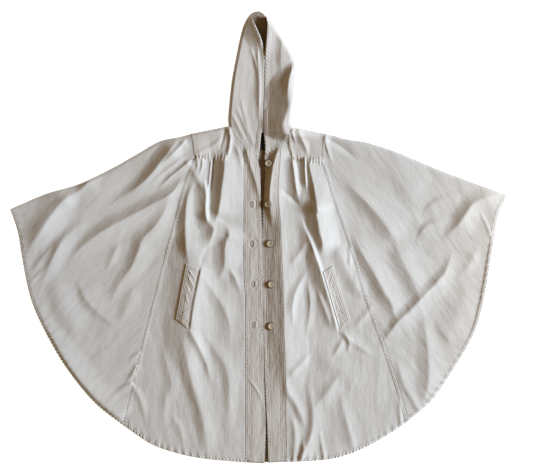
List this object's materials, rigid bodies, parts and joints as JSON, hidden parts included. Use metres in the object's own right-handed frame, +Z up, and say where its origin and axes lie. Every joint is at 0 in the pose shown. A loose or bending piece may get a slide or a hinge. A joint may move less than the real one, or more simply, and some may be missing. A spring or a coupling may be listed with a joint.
{
  "type": "hooded cape",
  "caption": "Hooded cape of plain ecru cotton, laid flat with its front up, with gathered shoulder yokes, a buttoned placket, slanted welt pockets and a curved hem.",
  "frame": {"origin": "centre of the overall box, on the ground that the cape lies on", "axes": "+X towards the viewer's right, which is the wearer's left, +Y from the hem to the hood's tip, +Z up out of the front of the cape"},
  "size_m": [1.3378, 1.2197, 0.039],
  "materials": {
    "cotton": "matt plain weave",
    "button_horn": "satin",
    "label_cloth": "matt"
  },
  "bodies": {
    "root": {"back_center": "cotton", "wing_left": "cotton", "wing_right": "cotton", "front_left": "cotton", "front_right": "cotton", "yoke_left": "cotton", "yoke_right": "cotton", "placket_left": "cotton", "placket_right": "cotton", "hood_left": "cotton", "hood_right": "cotton", "pocket_welt_left": "cotton", "pocket_welt_right": "cotton", "button_1": "button_horn", "button_2": "button_horn", "button_3": "button_horn", "button_4": "button_horn", "button_5": "button_horn", "neck_label": "label_cloth"}
  },
  "joints": []
}
